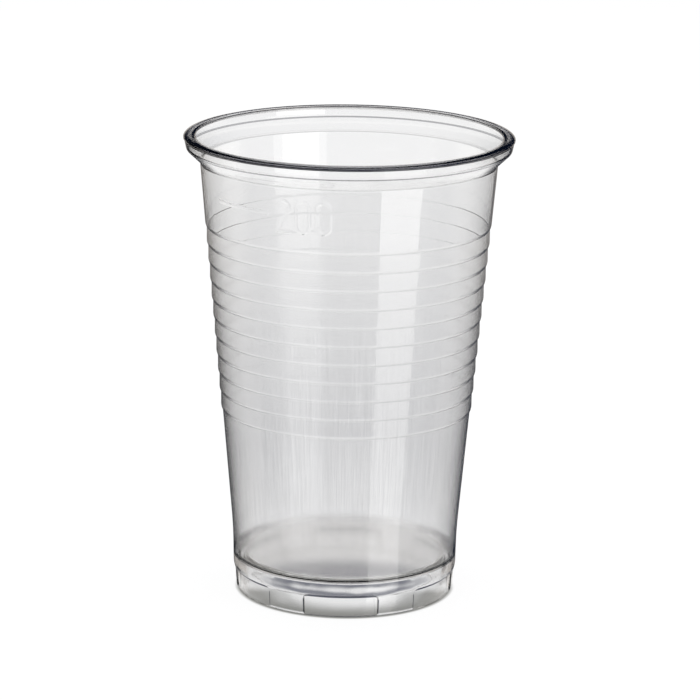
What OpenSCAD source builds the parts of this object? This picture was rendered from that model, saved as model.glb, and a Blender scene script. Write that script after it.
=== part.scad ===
// Clear disposable drinking cup, 0.2 litre, thermoformed in one piece from a
// thin plastic sheet. From the top: a flattened rolled rim, an upright skirt,
// a stacking shoulder, a plain wall, a run of stepped grip bands, a smooth lower
// wall and a foot ring with six sunken panels. The cup stands on Z = 0 with its
// axis on Z, open at the top. All sizes are in millimetres.

/* [Overall] */
// Height from the table to the top of the rim
cup_h = 99.75; // [97:0.25:110]
// Thickness of the sheet in the wall
wall_t = 0.35; // [0.25:0.05:0.6]

/* [Rim] */
// Outer diameter of the rolled rim
rim_d = 70.2; // [69.5:0.1:72]
// Width of the roll, from its outer to its inner edge
roll_w = 2.65; // [2.2:0.05:3.2]
// Height of the roll, which is pressed flat
roll_h = 1.0; // [0.8:0.05:1.4]
// Droop of the roll's outer edge, in degrees
roll_tilt = 4; // [0:1:10]
// Overhang of the roll beyond the top of the skirt
roll_overhang = 0.12; // [0.05:0.01:0.6]

/* [Skirt and shoulder] */
// Height from the top of the rim down to the foot of the skirt
skirt_drop = 2.8; // [2.2:0.1:5]
// Lean of the skirt, in degrees off upright
skirt_draft = 12; // [0:1:16]
// Height of the sloping shoulder
shoulder_h = 2.75; // [2:0.05:4]

/* [Plain wall] */
// Outer diameter of the wall where the shoulder meets it
wall_d = 63.1; // [61:0.1:65]
// Lean of the plain wall, in degrees off upright
plain_draft = 4.9; // [3:0.1:6]
// Height of the plain wall between the shoulder and the grip bands
plain_h = 13.07; // [12:0.01:16]

/* [Grip bands] */
// Number of stepped bands
band_count = 10; // [4:1:12]
// Height of each band
band_pitch = 4.008; // [3:0.001:4.2]
// Radius lost at each step
band_step = 0.35; // [0.2:0.01:0.45]
// Height of the inward curl at the foot of each band
lip_h = 0.95; // [0.6:0.05:1.5]

/* [Lower wall] */
// Lean of the lower wall, in degrees off upright
lower_draft = 5; // [4:0.1:6]
// Height at which the lower wall starts to turn upright
toe_z = 17; // [12:0.5:24]
// Lean of the wall where it reaches the foot, in degrees off upright
toe_draft = 0.8; // [0:0.1:2]

/* [Floor] */
// Height of the inside of the floor above the table
floor_z = 8.4; // [7.2:0.1:9]
// Thickness of the floor
floor_t = 0.7; // [0.4:0.05:1.2]
// Radius of the inside corner between floor and wall
corner_r = 0.5; // [0.3:0.1:2]

/* [Foot ring] */
// Height of the foot ring below the wall's last step
ring_h = 4.7; // [4:0.1:5]
// Height of the inward curl above the foot ring
ring_lip_h = 1.8; // [1:0.1:2]
// Radius lost in that curl
ring_lip_in = 0.25; // [0.1:0.01:0.4]
// Radius lost in the small step between the curl and the ring
ring_step = 0.07; // [0.02:0.01:0.2]
// Lean of the foot ring, in degrees off upright
ring_draft = 3.5; // [1:0.5:5]
// Thickness of the foot ring, where the sheet is folded on itself
fold_t = 1.7; // [1.6:0.1:3]
// Radius of the ring's outer bottom edge
edge_r = 1.1; // [0.6:0.1:1.1]
// Radius of the ring's inner bottom edge
inner_edge_r = 0.2; // [0.1:0.05:0.25]
// Lean of the fold's inner face, in degrees off upright
recess_draft = 2; // [0:0.5:5]
// Radius of the corner between the fold and the underside of the floor
recess_corner_r = 0.6; // [0.3:0.1:1]

/* [Foot panels] */
// Number of sunken panels round the foot ring
panel_count = 6; // [3:1:7]
// Width of each panel, measured straight across
panel_w = 15.7; // [10:0.1:17]
// Depth to which each panel is sunk
panel_depth = 0.3; // [0.15:0.05:0.5]
// How far the top edge of a panel cuts into the curl above the ring
panel_rise = 0.2; // [0.1:0.05:0.5]
// Radius of a panel's two upper corners
panel_corner_r = 0.9; // [0.4:0.1:1.5]
// Turn of the first panel from the front, in degrees
panel_turn = -1.7; // [-30:0.1:30]

/* [Hidden] */
$fn = 128;
// Number of short edges in each drawn arc, and round the section of the roll
arc_steps = 6;
roll_steps = 32;
// Overshoot of a cutting solid past the surface that it cuts
over = 1;

rim_r = rim_d / 2;
wall_r = wall_d / 2;
roll_reach = norm([roll_w * cos(roll_tilt), roll_h * sin(roll_tilt)]) / 2;
roll_rise = norm([roll_w * sin(roll_tilt), roll_h * cos(roll_tilt)]) / 2;
roll_centre = [rim_r - roll_reach, cup_h - roll_rise];
skirt_z = cup_h - skirt_drop;
skirt_top_r = rim_r - roll_overhang;
skirt_r = skirt_top_r - (roll_centre[1] - skirt_z) * tan(skirt_draft);
shoulder_z = skirt_z - shoulder_h;
plain_foot_z = shoulder_z - plain_h;
bands_top_z = plain_foot_z - lip_h;
bands_z = bands_top_z - band_count * band_pitch;
plain_foot_r = wall_r - plain_h * tan(plain_draft);
lip_angle = 2 * atan(band_step / lip_h);
lower_r = plain_foot_r - (band_count + 1) * band_step;
toe_r = lower_r - (bands_z - toe_z) * tan(lower_draft);
corner_z = floor_z + corner_r;
ring_lip_angle = 2 * atan(ring_lip_in / ring_lip_h);
under_z = floor_z - floor_t;

// Points of an arc that goes down from p by drop, while its lean off upright
// turns from a0 to a1 degrees. A positive lean runs inwards on the way down.
function bend(p, a0, a1, drop) =
    let (r = drop / (sin(a1) - sin(a0)))
    [for (i = [0:arc_steps])
        let (a = a0 + (a1 - a0) * i / arc_steps)
        p + r * [cos(a) - cos(a0), sin(a0) - sin(a)]];

// Unit normal of the edge from a to b, on the cup's inner side for an edge that
// runs downwards.
function inward(a, b) = [b[1] - a[1], a[0] - b[0]] / norm(b - a);

// A downward path moved inwards by t, with every edge kept parallel.
function inset(path, t) =
    let (last = len(path) - 1)
    [for (i = [0:last])
        let (m = inward(path[max(i - 1, 0)], path[max(i, 1)]))
        let (n = inward(path[min(i, last - 1)], path[min(i + 1, last)]))
        path[i] + t * (m + n) / (1 + m * n)];

// Outside of the wall, from inside the rolled rim down to the floor's corner.
// Band 0 is the foot of the plain wall, and each later band is a step smaller.
function band_r(i) = plain_foot_r - i * band_step;
function band_lip(i) =
    bend([band_r(i), bands_top_z - i * band_pitch + lip_h], 0, lip_angle, lip_h);
toe = bend([toe_r, toe_z], lower_draft, toe_draft, toe_z - corner_z);
wall = concat(
    [[skirt_top_r, roll_centre[1]], [skirt_r, skirt_z], [wall_r, shoulder_z]],
    [for (i = [0:band_count]) each band_lip(i)],
    toe
);

// Outside of the foot, from the wall down to the face that stands on the table.
toe_foot_r = toe[arc_steps][0];
ring_lip_z = ring_h + ring_lip_h;
lip_top_r = toe_foot_r - (corner_z - ring_lip_z) * tan(toe_draft);
function ring_r(z) = lip_top_r - ring_lip_in - ring_step - (ring_h - z) * tan(ring_draft);
edge_top_r = ring_r(edge_r);
foot = concat(
    bend([lip_top_r, ring_lip_z], 0, ring_lip_angle, ring_lip_h),
    [[ring_r(ring_h), ring_h]],
    bend([edge_top_r, edge_r], ring_draft, 90, edge_r)
);

// Underside, from the standing face up the inside of the fold to the axis.
function recess_r(z) = ring_r(0) - fold_t - z * tan(recess_draft);
recess_top_z = under_z - recess_corner_r;
underside = concat(
    [[recess_r(0) + inner_edge_r, 0], [recess_r(inner_edge_r), inner_edge_r]],
    bend([recess_r(recess_top_z), recess_top_z], 180 - recess_draft, 90, -recess_corner_r),
    [[0, under_z]]
);

// Inside of the cup, from the floor at the axis up to the rolled rim.
lining = inset(wall, wall_t);
corner_top = lining[len(lining) - 1];
corner = bend(corner_top, toe_draft, 90, corner_top[1] - floor_z);
function reversed(path) = [for (i = [len(path) - 1:-1:0]) path[i]];
inside = concat([[0, floor_z]], reversed([for (i = [1:arc_steps]) corner[i]]), reversed(lining));

// Half section of the sheet from rim to floor, to the right of the axis
module wall_section() {
    polygon(concat(wall, foot, underside, inside));
}

// Half section of the roll: the sheet's edge, curled over and pressed flat
module roll_section() {
    translate(roll_centre) rotate(-roll_tilt)
        polygon([for (i = [0:roll_steps - 1])
            let (a = 360 * i / roll_steps)
            [roll_w * cos(a), roll_h * sin(a)] / 2]);
}

// Outline of one foot panel seen from the front, with rounded upper corners
module panel_outline() {
    top = ring_h + panel_rise;
    right = concat(
        bend([panel_w / 2 - panel_corner_r, top], -90, 0, panel_corner_r),
        [[panel_w / 2, -over]]
    );
    polygon(concat(right, reversed([for (p = right) [-p[0], p[1]]])));
}

// What is taken away in front of one panel: a slice of a ring, as wide as the panel
module panel_cut() {
    outer_r = rim_r;
    top = ring_h + panel_rise + over;
    intersection() {
        rotate_extrude() polygon([
            [ring_r(top) - panel_depth, top],
            [ring_r(-over) - panel_depth, -over],
            [outer_r, -over],
            [outer_r, top]
        ]);
        rotate([90, 0, 0]) linear_extrude(height = outer_r) panel_outline();
    }
}

module cup() {
    color("lightgray") difference() {
        union() {
            rotate_extrude() wall_section();
            rotate_extrude() roll_section();
        }
        for (i = [0:panel_count - 1])
            rotate([0, 0, panel_turn + i * 360 / panel_count]) panel_cut();
    }
}

cup();
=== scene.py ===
from bisect import bisect_left
from math import asin, atan, atan2, cos, hypot, pi, radians, sin, sqrt, tan

import bpy
from mathutils import Matrix, Vector, noise


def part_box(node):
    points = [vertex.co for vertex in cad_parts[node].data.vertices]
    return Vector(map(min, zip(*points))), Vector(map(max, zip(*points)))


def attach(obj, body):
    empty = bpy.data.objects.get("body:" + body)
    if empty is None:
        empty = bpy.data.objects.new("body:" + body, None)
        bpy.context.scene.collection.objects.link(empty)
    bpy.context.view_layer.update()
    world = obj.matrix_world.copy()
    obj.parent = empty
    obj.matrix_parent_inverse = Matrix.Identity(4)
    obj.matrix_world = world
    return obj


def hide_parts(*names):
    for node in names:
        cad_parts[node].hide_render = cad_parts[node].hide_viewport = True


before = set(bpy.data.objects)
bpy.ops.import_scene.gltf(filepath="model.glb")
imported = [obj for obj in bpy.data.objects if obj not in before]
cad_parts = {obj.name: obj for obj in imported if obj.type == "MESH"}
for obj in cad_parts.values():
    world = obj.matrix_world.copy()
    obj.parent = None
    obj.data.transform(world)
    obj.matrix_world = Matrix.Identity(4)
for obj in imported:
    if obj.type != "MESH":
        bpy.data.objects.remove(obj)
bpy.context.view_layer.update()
scene = bpy.context.scene
scene.view_settings.view_transform = "Standard"

# The camera. It stands 0.76 m from the cup, 14 cm above the rim, and looks down on it by
# 14.6 degrees. It leans by less than a degree, and a small shift sets the cup a touch left
# of the middle of the picture.
MM = 0.001
camera_distance = 760.1 * MM
camera_down = radians(14.584)
camera_lean = radians(0.68)
camera_target = Vector((0, 0, 52.65 * MM))
sensor_w, lens_per_width = 36.0, 5.06502
camera_data = bpy.data.cameras.new("camera")
camera_data.sensor_width = sensor_w
camera_data.lens = sensor_w * lens_per_width
camera_data.shift_x = 0.0044
camera = bpy.data.objects.new("camera", camera_data)
turn = Matrix.Rotation(pi / 2 - camera_down, 4, "X") @ Matrix.Rotation(camera_lean, 4, "Z")
back = Vector((0, -cos(camera_down), sin(camera_down))) * camera_distance
camera.matrix_world = Matrix.Translation(camera_target + back) @ turn
scene.collection.objects.link(camera)
scene.camera = camera

# The cup. One sheet of clear polystyrene, drawn hot into a mould, with its edge curled over
# and pressed flat at the rim. The wall steps in at ten grip bands, and the foot is a folded
# ring with six sunken panels. Sizes are in millimetres, and are those of the solid.
low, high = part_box("cup")
cup_h = (high.z - low.z) / MM
rim_r = (high.x - low.x) / 2 / MM
wall_t = 0.35
roll_w, roll_h, roll_tilt = 2.65, 1.0, radians(4)
skirt_top_r, skirt_z, skirt_draft = rim_r - 0.12, cup_h - 2.8, radians(12)
shoulder_z, wall_r, plain_h, plain_draft = cup_h - 5.55, 31.55, 13.07, radians(4.9)
crease, inner_crease = 0.12, 0.7
band_count, band_pitch, band_step, lip_h = 10, 4.008, 0.35, 0.95
toe_z, lower_draft, toe_draft = 17.0, radians(5), radians(0.8)
floor_z, floor_t, corner_r = 8.4, 0.7, 0.5
ring_h, ring_lip_h, ring_lip_in, ring_step, ring_draft = 4.7, 1.8, 0.25, 0.07, radians(3.5)
fold_t, edge_r, inner_edge_r = 1.7, 1.1, 0.2
recess_draft, recess_corner_r = radians(2), 0.6
panel_count, panel_w, panel_depth, panel_rise = 6, 15.7, 0.3, 0.2
panel_corner_r, panel_turn, panel_edge = 0.9, radians(-1.7), 0.05
hair = 0.01  # places closer together than this count as one


def bend(p, a0, a1, drop, steps=6):
    """Points of an arc down from p by drop, while its lean off upright turns from a0 to a1."""
    r = drop / (sin(a1) - sin(a0))
    leans = [a0 + (a1 - a0) * i / steps for i in range(steps + 1)]
    return [(p[0] + r * (cos(a) - cos(a0)), p[1] + r * (sin(a0) - sin(a))) for a in leans]


def inset(path, t):
    """A downward path moved inwards by t, with every edge kept parallel."""
    def normal(a, b):
        length = hypot(b[0] - a[0], b[1] - a[1])
        return (b[1] - a[1]) / length, (a[0] - b[0]) / length

    moved, last = [], len(path) - 1
    for i, p in enumerate(path):
        m = normal(path[max(i - 1, 0)], path[max(i, 1)])
        n = normal(path[min(i, last - 1)], path[min(i + 1, last)])
        share = t / (1 + m[0] * n[0] + m[1] * n[1])
        moved.append((p[0] + share * (m[0] + n[0]), p[1] + share * (m[1] + n[1])))
    return moved


def eased(p, q, r, d, steps=4):
    """Points that round the corner q between p and r, from d before it to d after it."""
    def towards(end):
        share = d / hypot(end[0] - q[0], end[1] - q[1])
        return q[0] + (end[0] - q[0]) * share, q[1] + (end[1] - q[1]) * share

    (x0, y0), (x1, y1) = towards(p), towards(r)
    parts = [i / steps for i in range(steps + 1)]
    return [((1 - t) ** 2 * x0 + 2 * t * (1 - t) * q[0] + t * t * x1,
             (1 - t) ** 2 * y0 + 2 * t * (1 - t) * q[1] + t * t * y1) for t in parts]


def with_rows(path, heights):
    """The same downward path with a point added at each of these heights."""
    rows = list(path)
    for z in heights:
        for i in range(len(rows) - 1):
            (r0, z0), (r1, z1) = rows[i], rows[i + 1]
            if z0 - hair > z > z1 + hair:
                rows.insert(i + 1, (r0 + (r1 - r0) * (z0 - z) / (z0 - z1), z))
                break
    return rows


roll_reach = hypot(roll_w * cos(roll_tilt), roll_h * sin(roll_tilt)) / 2
roll_rise = hypot(roll_w * sin(roll_tilt), roll_h * cos(roll_tilt)) / 2
roll_r, roll_z = rim_r - roll_reach, cup_h - roll_rise


def in_roll(x, y):
    """Point of the profile that lies x outwards and y upwards from the tilted roll's centre."""
    return (roll_r + x * cos(roll_tilt) + y * sin(roll_tilt),
            roll_z - x * sin(roll_tilt) + y * cos(roll_tilt))


def on_roll(a):
    """Point on the roll's outline, at the angle a round its own centre."""
    return in_roll(roll_w / 2 * cos(a), roll_h / 2 * sin(a))


def leaves_roll(p, q):
    """Angle on the roll's outline at which a line from p, inside it, to q leaves it."""
    def scaled(point):
        """The point's place when the outline is drawn as a circle of radius 1."""
        x, y = point[0] - roll_r, point[1] - roll_z
        return ((x * cos(roll_tilt) - y * sin(roll_tilt)) * 2 / roll_w,
                (x * sin(roll_tilt) + y * cos(roll_tilt)) * 2 / roll_h)

    (x0, y0), (x1, y1) = scaled(p), scaled(q)
    dx, dy = x1 - x0, y1 - y0
    a, b, c = dx * dx + dy * dy, x0 * dx + y0 * dy, x0 * x0 + y0 * y0 - 1
    t = (sqrt(b * b - a * c) - b) / a
    return atan2(y0 + t * dy, x0 + t * dx)


# Outside of the wall, down to the corner of the floor
skirt_r = skirt_top_r - (roll_z - skirt_z) * tan(skirt_draft)
plain_foot_r, plain_foot_z = wall_r - plain_h * tan(plain_draft), shoulder_z - plain_h
bands_z = plain_foot_z - lip_h - band_count * band_pitch
lower_r = plain_foot_r - (band_count + 1) * band_step
toe_r = lower_r - (bands_z - toe_z) * tan(lower_draft)
corner_z = floor_z + corner_r
skirt_top, skirt_foot = (skirt_top_r, roll_z), (skirt_r, skirt_z)
shoulder_foot, plain_foot = (wall_r, shoulder_z), (plain_foot_r, plain_foot_z)
wall = [skirt_top] + eased(skirt_top, skirt_foot, shoulder_foot, crease)
wall += eased(skirt_foot, shoulder_foot, plain_foot, crease)
plain_from = len(wall)
mark_top, mark_foot, mark_rows = 92.3, 84.0, 52
mark_z = [mark_top + (mark_foot - mark_top) * i / mark_rows for i in range(mark_rows + 1)]
wall += [(plain_foot_r + (z - plain_foot_z) * tan(plain_draft), z) for z in mark_z]
plain_to = len(wall)
for i in range(band_count + 1):
    band_top = (plain_foot_r - i * band_step, plain_foot_z - i * band_pitch)
    wall += bend(band_top, 0, 2 * atan(band_step / lip_h), lip_h)
wall += bend((toe_r, toe_z), lower_draft, toe_draft, toe_z - corner_z)

# Outside of the foot, with the rows that the panels need, and the underside
ring_lip_z = ring_h + ring_lip_h
lip_top_r = wall[-1][0] - (corner_z - ring_lip_z) * tan(toe_draft)


def ring_r(z):
    return lip_top_r - ring_lip_in - ring_step - (ring_h - z) * tan(ring_draft)


def recess_r(z):
    return ring_r(0) - fold_t - z * tan(recess_draft)


foot = bend((lip_top_r, ring_lip_z), 0, 2 * atan(ring_lip_in / ring_lip_h), ring_lip_h)
foot += [(ring_r(ring_h), ring_h)]
foot += bend((ring_r(edge_r), edge_r), ring_draft, pi / 2, edge_r)
panel_top = ring_h + panel_rise
corner_rows = [panel_top - panel_corner_r * (1 - cos(radians(a))) for a in (22, 40, 55, 70, 90)]
line_w, line_in = 0.2, 0.4
edge_rows = [panel_top + line_w, panel_top + panel_edge, panel_top - panel_edge]
foot = with_rows(foot, edge_rows + corner_rows)
recess_top_z = floor_z - floor_t - recess_corner_r
recess_steps = 8
recess_rise = (recess_top_z - inner_edge_r) / recess_steps
recess_z = [inner_edge_r + recess_rise * i for i in range(recess_steps)]
underside = [(recess_r(0) + inner_edge_r, 0)] + [(recess_r(z), z) for z in recess_z]
recess_top = (recess_r(recess_top_z), recess_top_z)
underside += bend(recess_top, pi - recess_draft, pi / 2, -recess_corner_r)

# Inside, from the middle of the floor up to the roll, and round the roll
lining = inset([skirt_top, skirt_foot, shoulder_foot] + wall[plain_to:], wall_t)
lining[1:3] = eased(*lining[:3], inner_crease) + eased(*lining[1:4], inner_crease)
corner = bend(lining[-1], toe_draft, pi / 2, lining[-1][1] - floor_z, 8)
roll_from = leaves_roll(lining[0], lining[1]) + 2 * pi
roll_to = leaves_roll(wall[0], wall[1])
roll_steps = 32
roll_turn = (roll_to - roll_from) / roll_steps
roll = [on_roll(roll_from + roll_turn * i) for i in range(roll_steps + 1)]
profile = corner[:0:-1] + lining[:0:-1] + roll
outside_from = len(profile) - 1
profile += wall[1:]
foot_from = len(profile)
profile += foot
recess_from = len(profile)
profile += underside

# Columns round the cup: closer together at the two sides of each panel
column_r = ring_r(ring_h / 2)
past_side = (-panel_corner_r, -0.6, -0.35, -0.15, -panel_edge, 0, panel_edge, line_w)
sides = [asin((panel_w / 2 + past) / column_r) for past in past_side]
sector = 2 * pi / panel_count
inner_steps, outer_steps = 8, 6
half_sector = [sides[0] * i / inner_steps for i in range(inner_steps)] + sides
gap = sector / 2 - sides[-1]
half_sector += [sides[-1] + gap * i / outer_steps for i in range(1, outer_steps + 1)]
middles = [panel_turn + k * sector for k in range(panel_count)]
columns = [m + a for m in middles for a in [-a for a in half_sector[-2:0:-1]] + half_sector]
columns = sorted((a + pi) % (2 * pi) - pi for a in columns)

# The capacity mark on the plain wall, left of the front: a raised fill line, and plain
# numerals beside it. Places on it are millimetres round the wall from the front, and up.
mark_middle_z = 88.0
mark_r = plain_foot_r + (mark_middle_z - plain_foot_z) * tan(plain_draft)
mark_from, mark_to, mark_columns = radians(-64.5), radians(-4.5), 200
mark_step = (mark_to - mark_from) / mark_columns
marked = sorted(columns + [mark_from + mark_step * i for i in range(mark_columns)])
mark_rise, stroke_w, stroke_edge = 0.11, 0.55, 0.13
digit_w, digit_h, digit_pitch, digits_x, digits_z = 2.9, 6.6, 4.35, -15.3, 84.8
fill_z, fill_from, fill_to = 88.4, -32.2, -17.4


def two(x, z):
    """Middle line of a numeral 2 with its lower left corner at x, z."""
    r = digit_w / 2
    bow = [(x + r - r * cos(radians(a)), z + digit_h - r + r * sin(radians(a)))
           for a in range(10, 221, 15)]
    return bow + [(x, z), (x + digit_w, z)]


def nought(x, z):
    """Middle line of a numeral 0 with its lower left corner at x, z."""
    r = digit_w / 2
    upper = [(x + r - r * cos(radians(a)), z + digit_h - r + r * sin(radians(a)))
             for a in range(0, 181, 15)]
    lower = [(2 * (x + r) - px, 2 * z + digit_h - pz) for px, pz in upper]
    return upper + lower + upper[:1]


strokes = [[(fill_from, fill_z), (fill_to, fill_z)], two(digits_x, digits_z)]
strokes += [nought(digits_x + k * digit_pitch, digits_z) for k in (1, 2)]


def raised(angle, z):
    """Height by which the mark stands out from the wall."""
    x, nearest = angle * mark_r, stroke_w
    for line in strokes:
        for (x0, z0), (x1, z1) in zip(line, line[1:]):
            dx, dz = x1 - x0, z1 - z0
            share = min(max(((x - x0) * dx + (z - z0) * dz) / (dx * dx + dz * dz), 0), 1)
            nearest = min(nearest, hypot(x - x0 - share * dx, z - z0 - share * dz))
    t = min(max((stroke_w / 2 + stroke_edge / 2 - nearest) / stroke_edge, 0), 1)
    return mark_rise * t * t * (3 - 2 * t)


def off_panel(z, angle):
    """Distance on the foot's outside from the nearest panel's outline, less than 0 within it."""
    a = (angle - panel_turn + sector / 2) % sector - sector / 2
    x = abs(column_r * sin(a)) - panel_w / 2 + panel_corner_r
    y = z - panel_top + panel_corner_r
    return hypot(max(x, 0), max(y, 0)) + min(max(x, y), 0) - panel_corner_r


def sunk(r, z, angle):
    """Radius of the foot's outside at height z, with its panels pressed in."""
    share = min(max((panel_edge - off_panel(z, angle)) / (2 * panel_edge), 0), 1)
    return r + (min(r, ring_r(z) - panel_depth) - r) * share


# The underside isn't quite even: the fold and the floor ripple a little as they cool
ripple, ripple_w = 0.07, 2.6


def place(row, angle):
    """Point of the cup's skin on a row of the profile, at an angle from the front."""
    r, z = profile[row]
    if outside_from + plain_from <= row < outside_from + plain_to:
        r += raised(angle, z)
    if foot_from <= row < recess_from:
        r = sunk(r, z, angle)
    x, y = sin(angle), -cos(angle)
    if row > recess_from:
        r += ripple * noise.noise(Vector((x * r, y * r, z)) / ripple_w)
    return x * r * MM, y * r * MM, z * MM


# Each row of the profile becomes a ring of points, which lie closer together where the mark
# is. Two sets of points are kept for the material: a strip along the panels' edges, where the
# colour is darkened as painted shade, and the inside of the wall where the sheet was drawn out thin.
verts = [(0, 0, floor_z * MM), (0, 0, (floor_z - floor_t) * MM)]
rings, beside_panel, drawn_inside = [], set(), set()
for row in range(len(profile)):
    angles = marked if outside_from + plain_from <= row < outside_from + plain_to else columns
    rings.append([(angle, len(verts) + i) for i, angle in enumerate(angles)])
    verts += [place(row, angle) for angle in angles]
    z = profile[row][1]
    if row < outside_from and corner_z + hair < z < plain_foot_z + hair:
        drawn_inside.update(i for _, i in rings[-1])
    if foot_from <= row < recess_from and z > edge_r / 2:
        inner = -line_in if z > panel_top - line_in else -hair
        beside_panel.update(i for angle, i in rings[-1]
                            if inner < off_panel(z, angle) < line_w + hair)


def spans(ring, starts):
    """A row's points, split at these angles. Each span ends with the first point of the next."""
    angles = [angle for angle, _ in ring]
    cuts = [bisect_left(angles, start) for start in starts] + [len(ring)]
    points = [index for _, index in ring] + [ring[0][1]]
    return [points[cut:end + 1] for cut, end in zip(cuts, cuts[1:])]


def between(upper, lower):
    """Faces that fill one span. The side with more points fans out from the other's corners."""
    if len(upper) == len(lower):
        return [upper[::-1] + lower]
    few, many = sorted((upper, lower), key=len)
    mid = len(many) // 2
    fans = [(few[0], many[i], many[i + 1]) for i in range(mid)] + [(few[0], many[mid], few[1])]
    fans += [(few[1], many[i], many[i + 1]) for i in range(mid, len(many) - 1)]
    return fans if few is upper else [fan[::-1] for fan in fans]


# The sheet: each ring joined to the next, and the middle of the floor closed on both sides
faces = []
for ring, other in zip(rings, rings[1:]):
    starts = [angle for angle, _ in min(ring, other, key=len)]
    for upper, lower in zip(spans(ring, starts), spans(other, starts)):
        faces += between(upper, lower)
first, last = [i for _, i in rings[0]], [i for _, i in rings[-1]]
for i in range(len(columns)):
    j = (i + 1) % len(columns)
    faces.append((0, first[i], first[j]))
    faces.append((last[i], 1, last[j]))

# The hollow in the roll, a flat slit that is left where the sheet's edge curls over
core_w, core_h, core_out, core_up, core_steps = 1.7, 0.3, 0.2, 0.08, 16
core_turns = [2 * pi * i / core_steps for i in range(core_steps)]
core = [in_roll(core_out + core_w / 2 * cos(a), core_up + core_h / 2 * sin(a)) for a in core_turns]
core_first = len(verts)
verts += [(r * sin(a) * MM, -r * cos(a) * MM, z * MM) for r, z in core for a in columns]
for row in range(core_steps):
    here = core_first + row * len(columns)
    there = core_first + (row + 1) % core_steps * len(columns)
    for i in range(len(columns)):
        j = (i + 1) % len(columns)
        faces.append((here + j, here + i, there + i, there + j))

mesh = bpy.data.meshes.new("cup_shell")
mesh.from_pydata(verts, [], faces)
mesh.polygons.foreach_set("use_smooth", [True] * len(mesh.polygons))
mesh.set_sharp_from_angle(angle=radians(28))
# The strip beside the panels gets painted shade; the drawn inside is made a little rough
for name, kept in (("panel_edge_shade", beside_panel), ("drawn_inside", drawn_inside)):
    share = mesh.attributes.new(name, "FLOAT", "FACE")
    share.data.foreach_set("value", [float(kept.issuperset(face)) for face in faces])
mesh.validate()
cup = bpy.data.objects.new("cup_shell", mesh)
scene.collection.objects.link(cup)
level = cup.modifiers.new("true_normals", "WEIGHTED_NORMAL")
level.keep_sharp = True


def linear(code):
    """Linear colour of an sRGB hex code."""
    parts = [int(code[i:i + 2], 16) / 255 for i in (1, 3, 5)]
    return (*[c / 12.92 if c <= 0.04045 else ((c + 0.055) / 1.055) ** 2.4 for c in parts], 1)


def add(tree, kind, inputs=None, **settings):
    """Adds a node with its settings. Each input is a value, or the socket that it is linked to."""
    made = tree.nodes.new(kind)
    for name, value in settings.items():
        setattr(made, name, value)
    for name, value in (inputs or {}).items():
        if isinstance(value, bpy.types.NodeSocket):
            tree.links.new(value, made.inputs[name])
        else:
            made.inputs[name].default_value = value
    return made


# Clear polystyrene, thermoformed from a glossy sheet. It is crystal clear where it stays
# thick, at the rim and in the plain wall. Lower down, where the hot sheet was stretched
# most, it is a little smoky, with fine upright draw marks and a faintly rough inner face.
clear = bpy.data.materials.new("clear_polystyrene_thermoformed")
clear.use_nodes = True
tree = clear.node_tree
shader = tree.nodes["Principled BSDF"]
shader.inputs["IOR"].default_value = 1.59
shader.inputs["Transmission Weight"].default_value = 1.0
sheet_tone, stretched_tone = linear("#fbfbfb"), linear("#e6e6e7")
# Painted shade: the tones of the darker band at the roll's edge and of the strip along the panels
rim_shade_tone, panel_edge_shade_tone = linear("#8e8e94"), linear("#20222c")
drawn_roughness, frosted_roughness = 0.15, 0.12
spot = add(tree, "ShaderNodeTexCoord")
axes = add(tree, "ShaderNodeSeparateXYZ", {0: spot.outputs["Object"]})
height = axes.outputs["Z"]
flat = add(tree, "ShaderNodeVectorMath", {0: spot.outputs["Object"], 1: (1, 1, 0)}, operation="MULTIPLY")
reach = add(tree, "ShaderNodeVectorMath", {0: flat.outputs[0]}, operation="LENGTH").outputs["Value"]

# Draw marks, 0.22 mm wide and 14 mm long. Real ones are finer, and would be lost in the render.
mark_w, mark_l, body_r = 0.22, 14.0, 27.0
way = add(tree, "ShaderNodeVectorMath", {0: flat.outputs[0]}, operation="NORMALIZE")
around = add(tree, "ShaderNodeVectorMath", {0: way.outputs[0], "Scale": body_r / mark_w}, operation="SCALE")
along = add(tree, "ShaderNodeMath", {0: height, 1: 1 / (mark_l * MM)}, operation="MULTIPLY")
along = add(tree, "ShaderNodeCombineXYZ", {"Z": along.outputs[0]})
both = add(tree, "ShaderNodeVectorMath", {0: around.outputs[0], 1: along.outputs[0]}, operation="ADD")
marks = add(tree, "ShaderNodeTexNoise",
            {"Vector": both.outputs[0], "Scale": 1.0, "Detail": 2.0, "Roughness": 0.55})
streak = add(tree, "ShaderNodeMapRange",
             {"Value": marks.outputs[0], "From Min": 0.3, "From Max": 0.7, "To Min": 0.35, "To Max": 1.05})

# The smoky tint grows down the wall, gives way again where the wall thickens towards its
# foot, spares the floor, and is faint and even in the foot ring
low_down = add(tree, "ShaderNodeMapRange", {"Value": height, "From Min": 84 * MM, "From Max": 30 * MM})
thick = add(tree, "ShaderNodeMapRange",
            {"Value": height, "From Min": 13 * MM, "From Max": 26 * MM, "To Min": 0.2})
off_floor = add(tree, "ShaderNodeMapRange", {"Value": reach, "From Min": 22.8 * MM, "From Max": 23.4 * MM})
in_foot = add(tree, "ShaderNodeMapRange",
              {"Value": height, "From Min": 7.6 * MM, "From Max": 7.3 * MM, "To Max": 0.3})
smoke = low_down
for part in (streak, thick, off_floor):
    smoke = add(tree, "ShaderNodeMath", {0: smoke.outputs[0], 1: part.outputs[0]}, operation="MULTIPLY")
smoke = add(tree, "ShaderNodeMath", {0: smoke.outputs[0], 1: in_foot.outputs[0]}, operation="MAXIMUM")
tint = add(tree, "ShaderNodeMix", {0: smoke.outputs[0], 6: sheet_tone, 7: stretched_tone}, data_type="RGBA")
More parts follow.
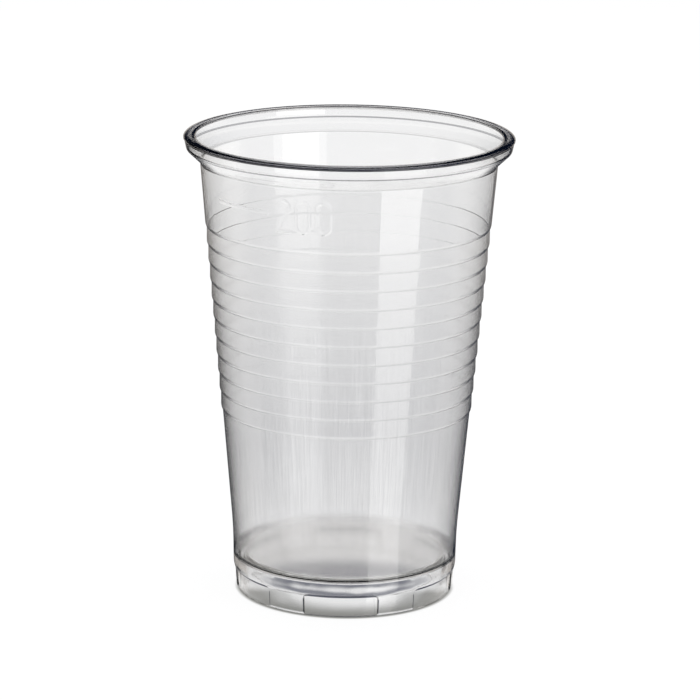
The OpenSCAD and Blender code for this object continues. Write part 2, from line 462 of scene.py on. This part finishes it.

# Painted shade: the colour is darkened in thin lines at the two creases under the rim, in the
# roll's outer edge, and along the pressed edges of the panels
# Painted shade in the two creases: a dark line at the skirt's foot, a faint one at the shoulder's
for z, tone in ((skirt_z, "#7c7c80"), (shoulder_z, "#d6d6d6")):
    off = add(tree, "ShaderNodeMath", {0: height, 1: z * MM}, operation="SUBTRACT")
    off = add(tree, "ShaderNodeMath", {0: off.outputs[0]}, operation="ABSOLUTE")
    line = add(tree, "ShaderNodeMapRange",
               {"Value": off.outputs[0], "From Min": 0.12 * MM, "From Max": 0.04 * MM})
    tint = add(tree, "ShaderNodeMix", {0: line.outputs[0], 6: tint.outputs[2], 7: linear(tone)},
               data_type="RGBA")
# Painted shade: a darker band in the colour along the roll's outer edge
outer = add(tree, "ShaderNodeMapRange",
            {"Value": reach, "From Min": (roll_r + 0.1) * MM, "From Max": (roll_r + 0.5) * MM})
upper = add(tree, "ShaderNodeMapRange",
            {"Value": height, "From Min": (roll_z - 0.35) * MM, "From Max": (roll_z - 0.15) * MM})
edge = add(tree, "ShaderNodeMath", {0: outer.outputs[0], 1: upper.outputs[0]}, operation="MULTIPLY")
tint = add(tree, "ShaderNodeMix", {0: edge.outputs[0], 6: tint.outputs[2], 7: rim_shade_tone}, data_type="RGBA")
# Painted shade: a dark strip in the colour along the panels' pressed edges
pressed = add(tree, "ShaderNodeAttribute", attribute_name="panel_edge_shade")
tint = add(tree, "ShaderNodeMix", {0: pressed.outputs["Fac"], 6: tint.outputs[2], 7: panel_edge_shade_tone},
           data_type="RGBA")
tree.links.new(tint.outputs[2], shader.inputs["Base Color"])

# Two faces aren't quite glossy: the underside of the floor, and the inside of the drawn wall
low_side = add(tree, "ShaderNodeMapRange", {"Value": height, "From Min": 7.95 * MM, "From Max": 7.85 * MM})
in_disc = add(tree, "ShaderNodeMapRange", {"Value": reach, "From Min": 22.4 * MM, "From Max": 22.2 * MM})
frosted = add(tree, "ShaderNodeMath", {0: low_side.outputs[0], 1: in_disc.outputs[0]}, operation="MULTIPLY")
frosted = add(tree, "ShaderNodeMath", {0: frosted.outputs[0], 1: frosted_roughness}, operation="MULTIPLY")
drawn = add(tree, "ShaderNodeAttribute", attribute_name="drawn_inside")
drawn = add(tree, "ShaderNodeMath", {0: drawn.outputs["Fac"], 1: drawn_roughness}, operation="MULTIPLY")
rough = add(tree, "ShaderNodeMath", {0: frosted.outputs[0], 1: drawn.outputs[0]}, operation="MAXIMUM")
tree.links.new(rough.outputs[0], shader.inputs["Roughness"])
cup.data.materials.append(clear)
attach(cup, "root")
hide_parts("cup")

# The studio floor. A sheet of white paper, which glows for whatever sees it, so that it
# stays white, and keeps a small matte share, which takes the cup's shadow.
floor_mesh = bpy.data.meshes.new("studio_floor")
half = 20.0
corners = [(-half, -half, 0), (half, -half, 0), (half, half, 0), (-half, half, 0)]
floor_mesh.from_pydata(corners, [], [(0, 1, 2, 3)])
studio_floor = bpy.data.objects.new("studio_floor", floor_mesh)
scene.collection.objects.link(studio_floor)
paper = bpy.data.materials.new("white_paper")
paper.use_nodes = True
tree = paper.node_tree
tree.nodes.clear()
matte_share, glow_share = 0.12, 0.93
path = add(tree, "ShaderNodeLightPath")
seen = path.outputs["Is Camera Ray"]
for kind in ("Is Glossy Ray", "Is Transmission Ray"):
    seen = add(tree, "ShaderNodeMath", {0: seen, 1: path.outputs[kind]}, operation="MAXIMUM").outputs[0]
glow = add(tree, "ShaderNodeMath", {0: seen, 1: glow_share}, operation="MULTIPLY")
spot = add(tree, "ShaderNodeTexCoord")
flat = add(tree, "ShaderNodeVectorMath", {0: spot.outputs["Object"], 1: (1, 1, 0)}, operation="MULTIPLY")
axes = add(tree, "ShaderNodeSeparateXYZ", {0: flat.outputs[0]})
reach = add(tree, "ShaderNodeVectorMath", {0: flat.outputs[0]}, operation="LENGTH").outputs["Value"]

# Painted shadow under the cup: the paper's colour is darkened in an oval below the back half of
# the floor, where little light gets in, and in a crescent below the front half of the foot
shade_at = add(tree, "ShaderNodeVectorMath", {0: flat.outputs[0], 1: (0, 7 * MM, 0)}, operation="SUBTRACT")
shade_at = add(tree, "ShaderNodeVectorMath", {0: shade_at.outputs[0], 1: (19.5 * MM, 7.5 * MM, 1)},
               operation="DIVIDE")
shade_at = add(tree, "ShaderNodeVectorMath", {0: shade_at.outputs[0]}, operation="LENGTH")
painted_shadow_oval = add(tree, "ShaderNodeMapRange",
            {"Value": shade_at.outputs["Value"], "From Min": 1.15, "From Max": 0.6},
            interpolation_type="SMOOTHSTEP")
ring_side = add(tree, "ShaderNodeMapRange", {"Value": reach, "From Min": 9 * MM, "From Max": 20 * MM},
                interpolation_type="SMOOTHSTEP")
within = add(tree, "ShaderNodeMapRange", {"Value": reach, "From Min": 24 * MM, "From Max": 23 * MM})
front = add(tree, "ShaderNodeMapRange",
            {"Value": axes.outputs["Y"], "From Min": 4 * MM, "From Max": -4 * MM},
            interpolation_type="SMOOTHSTEP")
for part in (ring_side, within):
    front = add(tree, "ShaderNodeMath", {0: front.outputs[0], 1: part.outputs[0]}, operation="MULTIPLY")
# Painted shadow: the crescent and then the oval darken the colour of the paper's glow
tone = add(tree, "ShaderNodeMix", {0: front.outputs[0], 6: (1, 1, 1, 1), 7: linear("#888884")},
           data_type="RGBA")
tone = add(tree, "ShaderNodeMix", {0: painted_shadow_oval.outputs[0], 6: tone.outputs[2], 7: linear("#7c7e88")},
           data_type="RGBA")
white = add(tree, "ShaderNodeEmission", {"Color": tone.outputs[2], "Strength": glow.outputs[0]})
matte = add(tree, "ShaderNodeBsdfDiffuse", {"Color": (matte_share, matte_share, matte_share, 1)})
both = add(tree, "ShaderNodeAddShader", {0: white.outputs[0], 1: matte.outputs[0]})

# Away from the cup, reflections see through the paper to the dark boards below the table
mirrored = add(tree, "ShaderNodeMath", {0: path.outputs["Glossy Depth"], 1: 0.5}, operation="GREATER_THAN")
away = add(tree, "ShaderNodeMapRange", {"Value": reach, "From Min": 26 * MM, "From Max": 30 * MM},
           interpolation_type="SMOOTHSTEP")
hidden = add(tree, "ShaderNodeMath", {0: mirrored.outputs[0], 1: away.outputs[0]}, operation="MULTIPLY")
through = add(tree, "ShaderNodeBsdfTransparent")
mixed = add(tree, "ShaderNodeMixShader", {0: hidden.outputs[0], 1: both.outputs[0], 2: through.outputs[0]})
add(tree, "ShaderNodeOutputMaterial", {"Surface": mixed.outputs[0]})
floor_mesh.materials.append(paper)

# The studio's surround. The camera sees it white, and so do rays bent by the clear wall, up
# to the dark ceiling boards. Reflections see dark boards all round, bluer to the right, a
# pale screen low down behind the cup, and a white table steeply below.
world = bpy.data.worlds.new("studio")
scene.world = world
world.use_nodes = True
tree = world.node_tree
tree.nodes.clear()


def up(degrees):
    """Height on a sphere of radius 1 of a direction that climbs by this many degrees."""
    return sin(radians(degrees))


path = add(tree, "ShaderNodeLightPath")
mirrored = add(tree, "ShaderNodeMath", {0: path.outputs["Glossy Depth"], 1: 0.5}, operation="GREATER_THAN")
way = add(tree, "ShaderNodeTexCoord")
axes = add(tree, "ShaderNodeSeparateXYZ", {0: way.outputs["Generated"]})
climb = axes.outputs["Z"]
overhead = add(tree, "ShaderNodeMapRange", {"Value": climb, "From Min": up(12), "From Max": up(30)},
               interpolation_type="SMOOTHSTEP")
above = add(tree, "ShaderNodeMapRange", {"Value": climb, "From Min": up(3), "From Max": up(9)},
            interpolation_type="SMOOTHSTEP")
below = add(tree, "ShaderNodeMapRange", {"Value": climb, "From Min": up(-8), "From Max": up(-15.5)})
steep = add(tree, "ShaderNodeMapRange", {"Value": climb, "From Min": up(-22), "From Max": up(-32)},
            interpolation_type="SMOOTHSTEP")
behind = add(tree, "ShaderNodeMapRange", {"Value": axes.outputs["Y"], "From Min": -0.1, "From Max": 0.4},
             interpolation_type="SMOOTHSTEP")
side = add(tree, "ShaderNodeMapRange", {"Value": axes.outputs["X"], "From Min": -0.5, "From Max": 0.5})
board = add(tree, "ShaderNodeMix", {0: side.outputs[0], 6: linear("#222328"), 7: linear("#16233e")},
            data_type="RGBA")
grey = add(tree, "ShaderNodeMix", {0: side.outputs[0], 6: linear("#2a2b2e"), 7: linear("#1c2436")},
           data_type="RGBA")
screen = add(tree, "ShaderNodeMix", {0: below.outputs[0], 6: linear("#d8d2cc"), 7: grey.outputs[2]},
             data_type="RGBA")
low = add(tree, "ShaderNodeMix", {0: behind.outputs[0], 6: board.outputs[2], 7: screen.outputs[2]},
          data_type="RGBA")
room = add(tree, "ShaderNodeMix", {0: above.outputs[0], 6: low.outputs[2], 7: board.outputs[2]},
           data_type="RGBA")

# Rays that have crossed the near wall twice and more, such as the far wall's reflections,
# find the whole of the back pale
deep = add(tree, "ShaderNodeMath", {0: path.outputs["Transmission Depth"], 1: 2.5}, operation="GREATER_THAN")
deep = add(tree, "ShaderNodeMath", {0: deep.outputs[0], 1: behind.outputs[0]}, operation="MULTIPLY")
room = add(tree, "ShaderNodeMix", {0: deep.outputs[0], 6: room.outputs[2], 7: linear("#f2eeea")},
           data_type="RGBA")
room = add(tree, "ShaderNodeMix", {0: steep.outputs[0], 6: room.outputs[2], 7: linear("#f4f4f4")},
           data_type="RGBA")
open_air = add(tree, "ShaderNodeMix", {0: overhead.outputs[0], 6: (1, 1, 1, 1), 7: board.outputs[2]},
               data_type="RGBA")
bent = add(tree, "ShaderNodeMix", {0: mirrored.outputs[0], 6: open_air.outputs[2], 7: room.outputs[2]},
           data_type="RGBA")
colour = add(tree, "ShaderNodeMix", {0: path.outputs["Is Camera Ray"], 6: bent.outputs[2], 7: (1, 1, 1, 1)},
             data_type="RGBA")
background = add(tree, "ShaderNodeBackground", {"Color": colour.outputs[2], "Strength": 1.0})
add(tree, "ShaderNodeOutputWorld", {"Surface": background.outputs[0]})


# Two soft boxes in front of the cup. The near wall mirrors the first as the bright bar on
# the right, and the far wall mirrors the second as the wider, fainter one on the left.
def soft_box(name, outline, y, strength, far_wall):
    """A glowing panel that shows only in reflections, from the far wall or from the near one.

    Light that the far wall sends back has crossed the near wall and counts more crossings."""
    panel = bpy.data.meshes.new(name)
    panel.from_pydata([(x * MM, y * MM, z * MM) for x, z in outline], [], [list(range(len(outline)))])
    made = bpy.data.objects.new(name, panel)
    scene.collection.objects.link(made)
    made.visible_camera = False
    made.visible_diffuse = False
    made.visible_shadow = False
    cloth = bpy.data.materials.new(name)
    cloth.use_nodes = True
    cloth.cycles.emission_sampling = "NONE"
    tree = cloth.node_tree
    tree.nodes.clear()
    path = add(tree, "ShaderNodeLightPath")
    shows = add(tree, "ShaderNodeMath", {0: path.outputs["Glossy Depth"], 1: 0.5}, operation="GREATER_THAN")
    wall_side = "GREATER_THAN" if far_wall else "LESS_THAN"
    deep = add(tree, "ShaderNodeMath", {0: path.outputs["Transmission Depth"], 1: 2.5}, operation=wall_side)
    shows = add(tree, "ShaderNodeMath", {0: shows.outputs[0], 1: deep.outputs[0]}, operation="MULTIPLY")
    glow = add(tree, "ShaderNodeEmission", {"Color": (1, 1, 1, 1), "Strength": strength})
    through = add(tree, "ShaderNodeBsdfTransparent")
    mixed = add(tree, "ShaderNodeMixShader", {0: shows.outputs[0], 1: through.outputs[0], 2: glow.outputs[0]})
    add(tree, "ShaderNodeOutputMaterial", {"Surface": mixed.outputs[0]})
    panel.materials.append(cloth)


near_box = [(33, -60), (112, -60), (112, 45), (146, 75), (146, 160), (33, 160)]
soft_box("soft_box_near_wall", near_box, -85, 1.4, far_wall=False)
soft_box("soft_box_far_wall", [(44, -60), (197, -60), (197, 160), (44, 160)], -84, 1.5, far_wall=True)

# The overhead lamp. It is broad and soft, and only the paper's matte share takes its light,
# which gives the cup a faint shadow to stand in.
lamp_data = bpy.data.lights.new("overhead_lamp", "AREA")
lamp_data.size = 1.0
lamp_data.energy = 14
lamp = bpy.data.objects.new("overhead_lamp", lamp_data)
lamp.location = (0, 0, 1.2)
lamp.visible_glossy = False
lamp.visible_transmission = False
scene.collection.objects.link(lamp)
